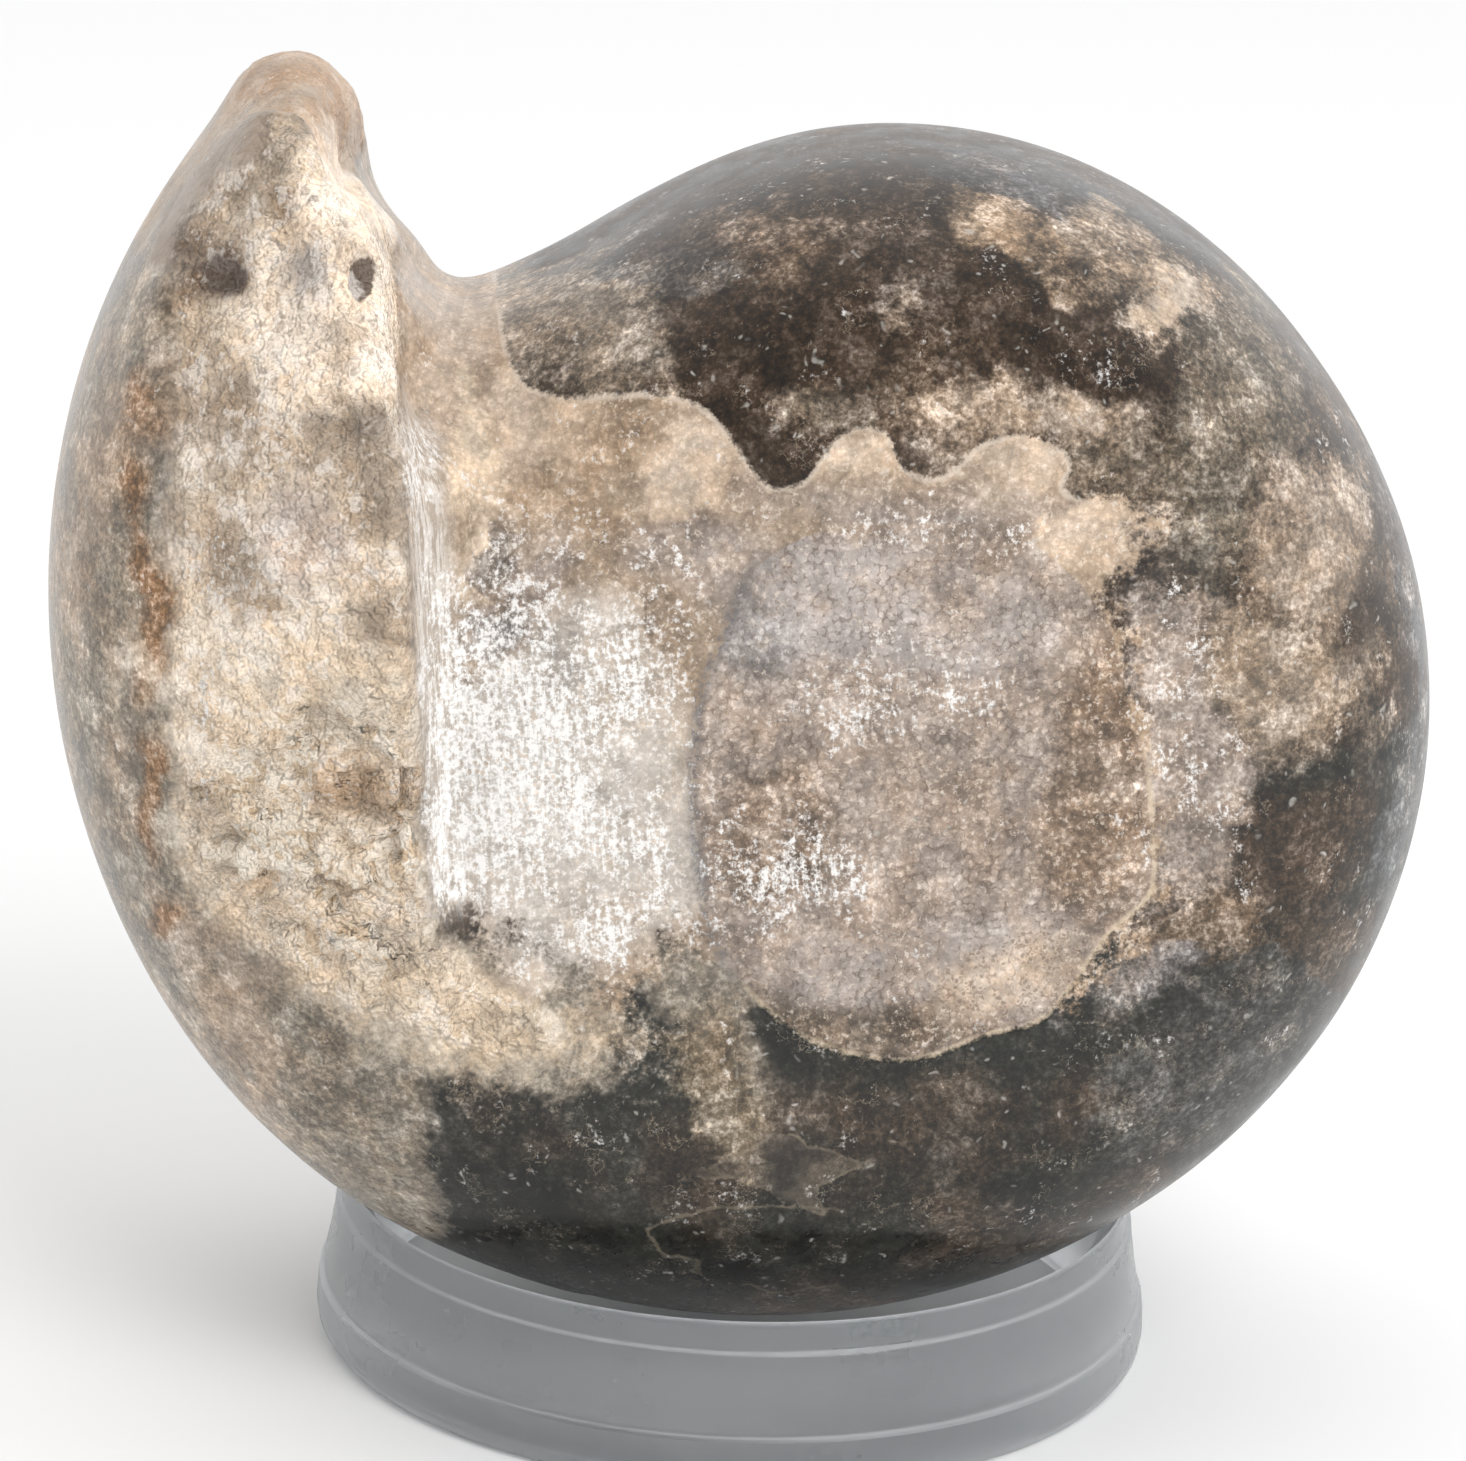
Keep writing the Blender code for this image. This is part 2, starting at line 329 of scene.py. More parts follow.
rough_points = (
    (-44.1, 34.9), (-41.0, 38.4), (-37.8, 38.9), (-34.8, 35.9), (-32.3, 30.9), (-31.0, 27.7),
    (-30.7, 21.6), (-30.0, 12.0), (-28.9, 0.0), (-28.0, -10.2), (-25.4, -14.6), (-20.9, -17.6),
    (-19.4, -20.1), (-23.3, -21.7), (-28.0, -20.0), (-33.4, -18.5), (-38.8, -15.7), (-43.2, -12.5),
    (-44.9, -7.3), (-45.4, 1.7), (-46.0, 11.4), (-45.8, 18.3), (-45.3, 25.4), (-46.0, 28.0),
    (-45.2, 31.5),
)
ridge_points = (
    (-52.0, 24.0), (-48.6, 28.1), (-47.4, 30.2), (-45.1, 33.7), (-43.3, 36.1), (-41.1, 38.4),
    (-39.8, 39.0), (-37.9, 39.0), (-36.7, 37.9), (-35.7, 35.8), (-33.0, 33.0), (-20.0, 50.0),
    (-60.0, 60.0),
)
brown_band_points = (
    (-45.6, 27.2), (-46.6, 22.3), (-47.2, 17.4), (-47.8, 12.2), (-47.8, 6.8), (-47.7, 1.5),
    (-47.2, -4.1), (-47.0, -10.3), (-46.2, -15.7),
)
facet_points = (
    (-40.0, 39.1), (-42.2, 37.3), (-43.6, 35.8), (-45.1, 33.7), (-47.0, 30.7), (-47.8, 28.3),
    (-45.8, 29.0), (-46.1, 30.6), (-45.4, 31.8), (-43.8, 33.8), (-43.2, 35.0), (-41.9, 35.7),
    (-40.4, 36.3), (-39.9, 38.2),
)
star_points = (
    (1.3, -28.7), (-0.7, -27.7), (-2.4, -27.5), (-3.5, -26.7), (-5.2, -26.8), (-6.4, -27.9),
    (-8.4, -28.8), (-10.4, -29.4), (-11.5, -30.8), (-9.6, -30.1), (-7.7, -29.8), (-5.9, -30.2),
    (-4.9, -30.8), (-4.1, -31.6), (-1.0, -32.7), (-1.5, -31.3), (-1.9, -30.4), (-0.4, -29.7),
)
leaf_points = (
    (-1.2, -32.5), (-3.1, -32.0), (-5.6, -32.1), (-8.1, -32.4), (-10.1, -33.1), (-11.8, -33.8),
    (-13.1, -34.5), (-12.5, -35.4), (-11.5, -36.7), (-8.8, -36.9), (-9.6, -38.2), (-8.4, -39.0),
    (-5.5, -39.6), (-3.8, -40.6), (-1.1, -39.9),
)
leaf_return_points = ((4.0, -38.0), (4.0, -33.0))

suture = rounded(suture_points, closed=False)
disc_loop = rounded(disc_points, closed=True)
right_of_disc = disc_points[17:5:-1]
up_the_wall = (
    (-28.2, -8.0), (-28.9, 0.0), (-29.7, 10.0), (-30.6, 20.0), (-31.1, 27.0), (-31.6, 31.0),
    (-33.0, 34.0), (-33.0, 50.0),
)
ground_foot = rounded(ground_foot_points, closed=False)
inner_loop = np.concatenate([suture, right_of_disc, ground_foot, up_the_wall])
inner_depth = outline_depth(u, v, inner_loop)
disc_depth = outline_depth(u, v, disc_loop)
dark_depth = outline_depth(u, v, np.array(dark_flank_points))
rough_warp = 0.6 * fractal(base_points, 3.0, 3, 31)
rough_depth = outline_depth(u + rough_warp, v, rounded(rough_points, closed=True))
tip_depth = outline_depth(u, v, np.array(ridge_points))
ground_depth = np.minimum(inner_depth, 0.8 - disc_depth)
facet_depth = outline_depth(u, v, np.array(facet_points))

rough = step(rough_depth, -0.6, 0.9) * front
rough = rough * (1 - 0.85 * step(facet_depth, -0.5, 0.4))
tip = step(tip_depth, -0.3, 0.3) * (1 - step(w, 14, 18))
rough = np.maximum(rough * (1 - tip), 0.35 * tip)


def tilted_facets(points, where, size, seed):
    """Broken crystal faces: each vertex takes its nearest seed's tilted plane and number from 0 to 1."""
    seeds_per_cell, spare_seeds, lift_share, steepness = 1.2, 8, 0.12, 0.40
    chance = np.random.default_rng(seed)
    picked = points[where]
    low, high = picked.min(axis=0), picked.max(axis=0)
    count = int(np.prod((high - low) / size) * seeds_per_cell) + spare_seeds
    seeds = low + chance.random((count, 3)) * (high - low)
    tilts = chance.normal(size=(count, 3))
    lifts = chance.normal(size=count) * size * lift_share
    draws = chance.random(count)
    nearest = np.full(len(picked), np.inf)
    plane, draw = np.zeros(len(picked)), np.zeros(len(picked))
    for seed_point, tilt, lift, drawn in zip(seeds, tilts, lifts, draws):
        apart = picked - seed_point
        distance = (apart ** 2).sum(axis=1)
        closer = distance < nearest
        nearest = np.where(closer, distance, nearest)
        plane = np.where(closer, lift + steepness * apart @ tilt, plane)
        draw = np.where(closer, drawn, draw)
    height, face_draw = np.zeros(len(points)), np.full(len(points), 0.5)
    height[where] = plane
    face_draw[where] = draw
    return height, face_draw


crystal_size, crystal_seed = 2.6, 5
facet_height, facet_draw = tilted_facets(base_points, rough > 0.05, crystal_size, crystal_seed)
crystal_zone = rough * (1 - step(np.hypot((u + 33.5) / 10.5, (v + 7.0) / 9.5), 0.75, 1.25))
pit_zone = rough * (1 - step(np.hypot((u + 36.0) / 6.5, (v - 28.0) / 8.5), 0.8, 1.2))
round_hole = 1.15 - np.hypot(1.2 * (u + 33.3), v - 29.9) - 20 * back_side
hole_floor = 1.05 - np.hypot(1.2 * (u + 33.7), v - 29.7)
# A hollow at the tooth's left: a shallow recess that the material fills with painted shade
dark_hollow = (1 - np.hypot((u + 42.8) / 1.9, (v - 29.2) / 1.2)) * 1.2 - 20 * back_side
relief = rough * (0.35 * fractal(base_points, 5.0, 4, 41) - 0.40)
relief += 0.14 * rough * np.clip(facet_height, -1.5, 1.5)
relief += crystal_zone * (0.55 * np.clip(facet_height, -1.6, 1.0) - 0.45)
relief += -0.60 * pit_zone * step(noise(base_points, 1.5, 47), 0.15, 0.65)
relief += -0.45 * step(round_hole, -0.3, 0.5) - 0.6 * step(dark_hollow, 0, 0.6)
behind_ridge = step(tip_depth, -0.2, 0.6) * (1 - step(tip_depth, 2.0, 8.0)) * front
relief += -1.0 * behind_ridge - 0.05
groove = np.exp(-((u - wall_line(v) - 1.6) / 1.2) ** 2)
relief += -0.7 * groove * step(26 - v, 0, 5) * step(v, -13, -8) * step(w, 14, 18)
relief += 0.05 * fractal(base_points, 14.0, 2, 53)
highest_relief = 0.10
relief = np.minimum(relief, highest_relief)

# The blunt tip's shoulders and the notch below: centre, radius and rise
tip_swells = (
    ((-40.6, 41.0), 3.4, 0.9),
    ((-34.8, 39.6), 3.2, 1.0),
    ((-32.0, 33.6), 3.2, -0.9),
    ((-29.8, 29.0), 2.2, 0.7),
)
swell = np.zeros(len(u))
for (cu, cv), radius, rise in tip_swells:
    apart = (u - cu) ** 2 + (v - 0.3 * w - cv) ** 2 + (w / 6) ** 2
    swell += rise * np.exp(-apart / radius ** 2)
sideways = (1.3, 0, 0)
stone_points = base_points + outward * relief[:, None] + outward * swell[:, None] * sideways

stone_turn = math.radians(5)
coil_beside, coil_above = 5.0, 51.1
coil_centre = ring_foot / MM + np.array([coil_beside, 0.0, coil_above])
right = np.array([math.cos(stone_turn), math.sin(stone_turn), 0])
towards = np.array([math.sin(stone_turn), -math.cos(stone_turn), 0])
upwards = np.array([0, 0, 1])
stone_u, stone_v, stone_w = (stone_points[:, axis:axis + 1] for axis in range(3))
world_points = coil_centre + stone_u * right + stone_v * upwards + stone_w * towards

stone_low, stone_high = (np.array(corner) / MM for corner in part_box("ammonite"))
world_points = np.clip(world_points, stone_low, stone_high)

stone_mesh = bpy.data.meshes.new("ammonite_stone")
front_cap, quads, back_cap = ball_faces()
stone_faces = front_cap.tolist() + quads.tolist() + back_cap.tolist()
stone_mesh.from_pydata((world_points * MM).tolist(), [], stone_faces)
stone_mesh.shade_smooth()
stone = bpy.data.objects.new("ammonite_stone", stone_mesh)
bpy.context.scene.collection.objects.link(stone)
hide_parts("ammonite")
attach(stone, "root")


# The ammonite's colours
# Dark brown calcite fills the shell, cream matrix lies below the suture, and tan clouds cross both.
# Each patch is an ellipse, given as centre, radii, tilt in degrees, colour and strength.

dark = (0.032, 0.018, 0.009)
olive = (0.015, 0.015, 0.011)
brown = (0.075, 0.048, 0.029)
umber = (0.19, 0.125, 0.075)
steel = (0.075, 0.074, 0.077)
slate = (0.165, 0.155, 0.15)
grey_brown = (0.19, 0.15, 0.11)
tan = (0.34, 0.265, 0.20)
beige = (0.245, 0.21, 0.165)
mauve = (0.30, 0.265, 0.25)
pink_tan = (0.49, 0.385, 0.295)
channel_tan = (0.46, 0.365, 0.285)
cream = (0.62, 0.51, 0.41)
butter = (0.79, 0.675, 0.54)
chalk = (0.91, 0.78, 0.65)
rubble = (0.82, 0.69, 0.55)
amber = (0.36, 0.22, 0.12)
rose = (0.60, 0.505, 0.44)
lilac = (0.45, 0.40, 0.375)
ground = (0.50, 0.455, 0.41)
facet_tan = (0.335, 0.268, 0.208)
facet_lilac = (0.30, 0.265, 0.265)
disc_tan = (0.34, 0.275, 0.23)
disc_brown = (0.185, 0.14, 0.10)
tongue = (0.145, 0.11, 0.068)
rust = (0.24, 0.125, 0.05)
ridge_brown = (0.36, 0.225, 0.135)
matrix_tan = (0.37, 0.28, 0.20)

whorl_clouds = (
    ((-6.4, 27.9), (9.0, 3.2), 8, dark, 0.9),
    ((-18.5, 25.6), (6.5, 3.8), 8, (0.235, 0.19, 0.145), 0.9),
    ((-1.2, 33.6), (8.6, 3.3), 0, dark, 0.9),
    ((-17.0, 32.2), (7.0, 2.9), 22, dark, 0.9),
    ((13.8, 34.9), (9.0, 2.0), -24, steel, 0.85),
    ((9.9, 32.2), (4.6, 2.4), -20, (0.31, 0.22, 0.145), 0.95),
    ((9.3, 23.1), (7.0, 2.3), -4, tan, 0.95),
    ((24.4, 22.6), (5.4, 5.4), 20, (0.165, 0.135, 0.10), 0.85),
    ((1.0, 31.3), (4.6, 2.6), 0, (0.048, 0.031, 0.021), 0.85),
    ((-16.2, 28.9), (5.2, 1.4), 18, (0.115, 0.105, 0.10), 0.85),
    ((29.6, 13.4), (3.8, 7.2), 12, (0.30, 0.235, 0.18), 0.95),
    ((27.5, 5.0), (6.6, 4.6), 0, (0.275, 0.215, 0.16), 0.95),
    ((21.8, 2.0), (4.6, 12.0), 0, disc_tan, 0.95),
    # Painted reflection: a bluish grey strip of sheen down the right edge
    ((38.2, 6.0), (1.9, 14.0), 0, (0.165, 0.168, 0.175), 0.75),
    ((29.8, -6.2), (6.5, 5.0), 0, (0.06, 0.038, 0.023), 0.9),
    ((3.4, 26.1), (4.0, 1.8), 0, brown, 0.8),
    ((10.7, 27.6), (4.8, 2.2), -10, dark, 0.9),
    ((18.2, 31.2), (4.4, 1.6), -34, (0.36, 0.275, 0.20), 0.8),
    ((16.1, 19.4), (5.0, 2.6), 0, grey_brown, 0.85),
    ((23.8, 14.6), (3.0, 4.0), 0, beige, 0.8),
    ((24.2, -11.5), (4.5, 3.2), 30, umber, 0.7),
    ((20.6, -14.6), (3.0, 1.6), 40, mauve, 0.7),
    ((33.2, -12.7), (3.0, 5.5), 20, brown, 0.7),
    ((25.5, -21.6), (8.0, 5.0), 35, slate, 0.30),
    ((37.6, 3.4), (1.6, 2.4), 0, dark, 0.9),
    ((8.0, -26.0), (7.0, 2.6), 10, brown, 0.6),
)
flank_clouds = (
    ((-36.0, 30.0), (6.0, 7.0), 0, chalk, 0.95),
    ((-34.0, 19.0), (4.0, 5.0), 0, tan, 0.8),
    ((-43.6, 34.5), (6.8, 2.1), 54, facet_tan, 0.97),
    ((-42.7, 21.8), (3.5, 4.0), 0, tan, 0.9),
    ((-38.1, 15.2), (5.5, 3.4), 0, rose, 0.9),
    ((-42.4, 12.0), (2.6, 5.0), 0, tan, 0.9),
    ((-37.1, 3.8), (8.5, 3.6), 0, butter, 0.95),
    ((-32.9, -2.6), (5.0, 1.9), 0, amber, 0.6),
    ((-34.0, -8.6), (5.0, 3.0), 0, rubble, 0.85),
    ((-40.3, -5.4), (4.0, 7.0), 0, butter, 0.9),
    ((-25.3, -18.4), (8.0, 3.0), -8, (0.68, 0.57, 0.44), 0.85),
    ((-32.0, 9.0), (2.4, 1.8), 0, umber, 0.6),
)
whorl_spots = (
    ((19.4, 28.4), (1.7, 1.2), 0, (0.44, 0.36, 0.285), 1.0),
    ((1.1, 29.6), (0.8, 0.5), 0, tan, 0.6),
    ((-6.2, 31.5), (1.8, 0.8), 15, umber, 0.5),
    ((-3.1, 23.8), (2.6, 1.5), 0, grey_brown, 0.7),
    ((33.0, 8.9), (1.3, 2.8), 0, dark, 0.95),
    ((4.7, 24.6), (3.2, 1.0), 0, tan, 0.6),
    ((-44.1, 30.2), (1.1, 2.4), -15, (0.12, 0.07, 0.04), 0.9),
    ((-46.4, 30.6), (1.9, 1.1), 60, facet_lilac, 0.8),
    ((-40.4, 35.4), (0.9, 1.6), 10, umber, 0.9),
    ((-38.6, 31.6), (1.6, 1.2), 30, mauve, 0.8),
    ((-35.5, 22.5), (2.2, 1.0), 0, slate, 0.5),
    ((-8.2, -23.6), (1.9, 5.3), 25, tongue, 0.9),
)
inner_clouds = (
    ((-28.5, 27.0), (3.4, 7.0), 0, channel_tan, 0.95),
    ((-28.0, 38.0), (7.0, 9.0), 0, channel_tan, 0.95),
    ((-23.3, 19.8), (3.4, 1.7), 20, cream, 0.95),
    ((-11.2, 18.6), (2.6, 3.2), -25, cream, 0.95),
    ((-1.8, 20.9), (2.6, 1.2), 0, cream, 0.95),
    ((10.3, 20.6), (2.8, 1.1), 0, cream, 0.95),
    ((15.6, 15.8), (2.6, 1.2), -10, cream, 0.9),
    ((-27.0, 18.0), (0.9, 9.0), 5, butter, 0.7),
    ((-25.6, 12.8), (1.6, 2.2), 0, slate, 0.9),
    ((-19.0, -3.0), (9.0, 13.0), 0, ground, 0.9),
    # Painted shade: a dark slate strip along the plug's left edge
    ((-11.9, -3.0), (0.7, 8.5), 4, slate, 0.65),
    ((-22.6, 11.4), (3.4, 2.0), 0, mauve, 0.8),
    ((-24.8, 7.8), (2.6, 2.0), 0, (0.27, 0.255, 0.26), 0.9),
    ((-9.9, 12.4), (5.0, 3.0), 0, mauve, 0.7),
    ((4.0, 17.0), (9.0, 1.5), 0, mauve, 0.85),
)
disc_clouds = (
    ((0.0, 10.5), (10.0, 4.5), 0, lilac, 0.85),
    ((-7.5, 8.5), (2.2, 3.0), 30, slate, 0.55),
    ((5.0, 12.5), (3.0, 1.6), 0, umber, 0.35),
    ((-6.0, -4.5), (5.0, 4.0), 10, umber, 0.6),
    ((15.9, -1.0), (3.4, 11.0), 0, umber, 0.75),
    ((4.0, -13.4), (10.0, 2.4), 8, lilac, 0.6),
    ((10.5, -15.2), (4.2, 1.9), 22, cream, 0.7),
    ((0.5, -18.6), (8.5, 2.5), -3, disc_brown, 0.9),
)


def ellipse_depth(patch):
    """How deep each vertex lies in a patch in millimetres: (1 - reach) * the lesser radius."""
    (pu, pv), (ru, rv), tilt = patch[:3]
    angle = math.radians(tilt)
    du, dv = warp_u - pu, warp_v - pv
    along = (du * math.cos(angle) + dv * math.sin(angle)) / ru
    across = (dv * math.cos(angle) - du * math.sin(angle)) / rv
    return (1 - np.hypot(along, across)) * min(ru, rv) - 8 * (1 - front)


def lay(patches):
    """Each vertex's deepest patch: its colour with its strength, and how deep the vertex lies in it."""
    depth = np.full(len(u), -20.0)
    tone = np.zeros((len(u), 4))
    for patch in patches:
        here = ellipse_depth(patch)
        tone = np.where((here > depth)[:, None], (*patch[3], patch[4]), tone)
        depth = np.maximum(depth, here)
    return tone, depth


def blend(a, b, share):
    """a where share is 0 and b where it is 1."""
    return np.asarray(a) * (1 - share[:, None]) + np.asarray(b) * share[:, None]


clouds = fractal(base_points, 16.0, 4, 61)
fine_clouds = fractal(base_points, 5.0, 3, 67)
whorl_tone = blend(np.tile(dark, (len(u), 1)), brown, step(clouds + 0.4 * fine_clouds, -0.2, 0.7))
whorl_tone = blend(whorl_tone, tan, step(clouds, 0.35, 0.75) * back_side)
left_share = step(-u + 0.25 * v, 27.5, 30.5)
polished_left = blend(np.tile(beige, (len(u), 1)), tan, step(fine_clouds, -0.3, 0.8))
whorl_tone = blend(whorl_tone, polished_left, left_share)
low_left = step(-u, 3, 8) * step(-v, 12, 15)
whorl_tone = blend(whorl_tone, beige, low_left * (1 - left_share))
whorl_tone = blend(whorl_tone, rubble, 0.95 * rough)
band = (1 - step(line_distance(warp_u, v, rounded(brown_band_points, False)), 0.5, 1.3)) * front
band = band * step(noise(base_points, 3.0, 71), -0.5, 0.2)
whorl_tone = blend(whorl_tone, rust, 0.95 * band)
whorl_tone = blend(whorl_tone, pink_tan, tip)
ridge_band = step(tip_depth, -0.1, 0.4) * (1 - step(tip_depth, 1.0, 3.2))
ridge_band = ridge_band * step(noise(base_points, 1.7, 73), -0.3, 0.4)
whorl_tone = blend(whorl_tone, ridge_brown, 0.75 * ridge_band * (1 - step(w, 14, 18)))
low_tone = blend(np.tile(olive, (len(u), 1)), brown, 0.6 * step(clouds - 0.3 * fine_clouds, 0.0, 0.7))
low_tone = low_tone * (1 - 0.2 * step(-u, 12, 20))[:, None]
disc_tone = np.tile(disc_tan, (len(u), 1))
for patch in disc_clouds:
    disc_tone = blend(disc_tone, patch[3], patch[4] * step(ellipse_depth(patch), -1.2, 0.8))

# The wall's ground face, and the ground powder: a sheet that thins out to the right, and denser patches
wall_zone = 1 - step(np.abs(u - wall_line(v) - 1.3), 0.6, 2.0)
wall_zone = wall_zone * step(26 - v, 0, 6) * step(v, -13, -9) * step(w, 16, 20)
powder_patches = (
    ((-4.5, -7.2), (6.5, 3.8), 0, 0.54),
    ((-8.0, -11.0), (3.4, 1.6), 0, 0.52),
    ((-11.5, -4.0), (2.4, 10.0), 0, 0.37),
    ((1.5, 4.6), (8.0, 5.0), 0, 0.45),
    ((22.0, 3.0), (3.4, 9.5), 8, 0.42),
    ((5.0, 16.0), (8.0, 1.5), 0, 0.50),
    ((-15.0, 12.0), (6.0, 3.0), 0, 0.34),
    ((-43.8, 3.0), (1.0, 7.0), 0, 0.50),
)
drift = 3.5 * noise(base_points, 5.0, 91)
powder = step(ground_depth, -2.0, 3.0) * (1 - 0.9 * step(warp_v + drift + 0.15 * (u + 20), 3.0, 16.5))
powder = powder * (1 - 0.60 * step(warp_u + 0.6 * drift, -21.0, -9.5))
powder = powder * (1 - 0.5 * step(drift - warp_v, 9.0, 16.0))
powder = powder * step(u - wall_line(v), 0.2, 1.0)
for patch in powder_patches:
    powder = np.maximum(powder, patch[3] * step(ellipse_depth(patch), -1.5, 1.5))
powder = np.maximum(powder, (0.55 + 0.35 * step(8 - v, 0, 10)) * wall_zone) * step(w, 12, 18)
back_ground = step(ground_depth, 0.0, 3.0) * (1 - step(warp_v, 4.0, 15.0)) * step(-w, 12, 18)
powder = np.maximum(powder, 0.75 * back_ground)


def store(name, values):
    """Puts one value, or one colour with its strength, at each vertex of the stone."""
    kind = "FLOAT_COLOR" if values.ndim == 2 else "FLOAT"
    layer = stone_mesh.attributes.new(name, kind, "POINT")
    if kind == "FLOAT":
        layer.data.foreach_set("value", values.astype(np.float32))
        return
    if values.shape[1] == 3:
        values = np.concatenate([values, np.ones((len(values), 1))], axis=1)
    layer.data.foreach_set("color", values.astype(np.float32).ravel())


store("whorl_tone", whorl_tone)
store("low_tone", low_tone)
store("disc_tone", disc_tone)
layers = {"cloud": whorl_clouds + flank_clouds, "spot": whorl_spots, "inner_cloud": inner_clouds}
for name, patches in layers.items():
    tone, depth = lay(patches)
    store(name + "_tone", tone)
    store(name + "_depth", depth)
store("inner_depth", inner_depth)
suture_end = step(u, 13.0, 15.5)
store("suture_near", (1 - step(line_distance(u, v, suture), 1.2, 3.5)) * (1 - suture_end))
loose_below = step(-v, 7.5, 10) * (1 - step(u, -9, -7))
store("loose_border", np.maximum(loose_below, suture_end * step(18.5 - v, 0, 2)))
store("facet_draw", facet_draw)
store("flat_front", step(inner_depth, -3.0, 1.0))
store("round_hole", round_hole)
store("facet_depth", facet_depth - 20 * back_side)
store("hole_floor", hole_floor)
store("dark_hollow", dark_hollow)
disc_lower = step(0.6 * (u - 4) - v - 3, 3, 10)
store("disc_rim", 0.12 + 0.88 * disc_lower)
store("disc_shadow", step(-u - 5, 1.0, 4.0))
cream_stretch = ((11.0, -14.5), (5.5, 3.0), 25)
store("disc_cream", step(ellipse_depth(cream_stretch), -0.5, 1.0))
store("disc_depth", disc_depth)
store("dark_depth", dark_depth)
store("broken", rough)
store("tip", tip)
store("pitted", pit_zone)
store("crystals", crystal_zone)
store("powder", powder)
store("wall", wall_zone)
store("star_depth", outline_depth(u, v, np.array(star_points)) - 20 * back_side)
store("leaf_depth", outline_depth(u, v, np.array(leaf_points + leaf_return_points)))
store("leaf_near", front * (1 - step(line_distance(u, v, leaf_points), 0.8, 1.8)))


# The ammonite's material
# Calcite crystals of a few millimetres, with cleavage flecks drawn as painted highlights, under a low
# polish. Ground and broken places are matt. Lengths in the node tree are millimetres, and the coordinates
# are scaled to them.

def nodes_of(name):
    """A new material with its node tree and shader."""
    material = bpy.data.materials.new(name)
    material.use_nodes = True
    return material, material.node_tree, material.node_tree.nodes["Principled BSDF"]


stone_material, tree, shader = nodes_of("polished_calcite")


def add(kind, **inputs):
    """Adds a node, with inputs given by name (spaces as _) or by number (i0), as values or sockets."""
    node = tree.nodes.new(kind)
    for name, value in inputs.items():
        by_number = name[0] == "i" and name[1:].isdigit()
        socket = node.inputs[int(name[1:]) if by_number else name.replace("_", " ")]
        if isinstance(value, bpy.types.NodeSocket):
            tree.links.new(value, socket)
        else:
            socket.default_value = value
    return node


def stored(name, output="Fac"):
    """A value kept at the vertices."""
    node = tree.nodes.new("ShaderNodeAttribute")
    node.attribute_name = name
    return node.outputs[output]


def calc(operation, a, b=0.0, c=0.0):
    """One Math node."""
    node = add("ShaderNodeMath", i0=a, i1=b, i2=c)
    node.operation = operation
    return node.outputs[0]


def ramp(value, low, high, to_low=0.0, to_high=1.0):
    """Maps low..high smoothly onto to_low..to_high."""
    node = add("ShaderNodeMapRange", Value=value, From_Min=low, From_Max=high, To_Min=to_low, To_Max=to_high)
    node.interpolation_type = "SMOOTHSTEP"
    return node.outputs["Result"]


def mix(share, a, b, mode="MIX"):
    """Mixes two colours."""
    node = tree.nodes.new("ShaderNodeMix")
    node.data_type = "RGBA"
    node.blend_type = mode
    for socket, value in ((node.inputs[0], share), (node.inputs[6], a), (node.inputs[7], b)):
        if isinstance(value, bpy.types.NodeSocket):
            tree.links.new(value, socket)
        elif isinstance(value, tuple):
            socket.default_value = (*value, 1.0)
        else:
            socket.default_value = value
    return node.outputs[2]


def noise_node(vector, scale, detail, roughness=0.6, output="Fac"):
    """Fractal noise with so many lumps to the millimetre."""
    node = add("ShaderNodeTexNoise", Vector=vector, Scale=scale, Detail=detail, Roughness=roughness)
    return node.outputs[output]


def vector_math(operation, a, b):
    """One Vector Math node."""
    node = add("ShaderNodeVectorMath", i0=a, i1=b)
    node.operation = operation
    return node.outputs["Vector"]


def channels(colour):
    """The three parts of a colour."""
    return add("ShaderNodeSeparateColor", Color=colour).outputs


def times(a, b):
    """a * b."""
    return calc("MULTIPLY", a, b)


def times_plus(a, factor, rest):
    """a * factor + rest."""
    return calc("MULTIPLY_ADD", a, factor, rest)


def off_middle(value):
    """How far a number from 0 to 1 lies above or below a half."""
    return calc("SUBTRACT", value, 0.5)


def near_zero(value, far, near):
    """1 where the value is within near of zero, and 0 where it is past far."""
    return ramp(calc("ABSOLUTE", value), far, near)


def stain(tone, share, strength, colour):
    """Covers share * strength of a tone with a colour."""
    return mix(times(share, strength), tone, colour)


def millimetre_place():
    """Object coordinates in millimetres."""
    return vector_math("MULTIPLY", tree.nodes.new("ShaderNodeTexCoord").outputs["Object"], (1 / MM,) * 3)


# Rag tears the edges of patches, grain is fine crystal, and bits are cleavage pieces under a millimetre
place = millimetre_place()
rag = channels(noise_node(place, 0.26, 4, 0.70, "Color"))
grain = ramp(noise_node(place, 2.5, 2, 0.8), 0.27, 0.73, -1.0, 1.0)
fine = times_plus(grain, 0.025, -0.5)
rag_red, rag_green, rag_blue = (calc("ADD", part, fine) for part in rag[:3])
bend = vector_math("MULTIPLY", noise_node(place, 0.9, 0, 0.6, "Color"), (1.4, 1.4, 1.4))
bits = add("ShaderNodeTexVoronoi", Vector=vector_math("ADD", place, bend), Scale=1.25).outputs
bit_distance, bit_tone = bits["Distance"], channels(bits["Color"])

# Specks are the flat grains of the plug and the ground stretch
split = add("ShaderNodeSeparateXYZ", Vector=place).outputs
flat_x, flat_y = calc("ADD", split[0], rag_red), calc("ADD", split[2], rag_blue)
flat_place = add("ShaderNodeCombineXYZ", X=flat_x, Y=flat_y).outputs[0]
specks = add("ShaderNodeTexVoronoi", Vector=flat_place, Scale=2.1)
specks.voronoi_dimensions = "2D"
speck_distance, speck_tone = specks.outputs["Distance"], channels(specks.outputs["Color"])

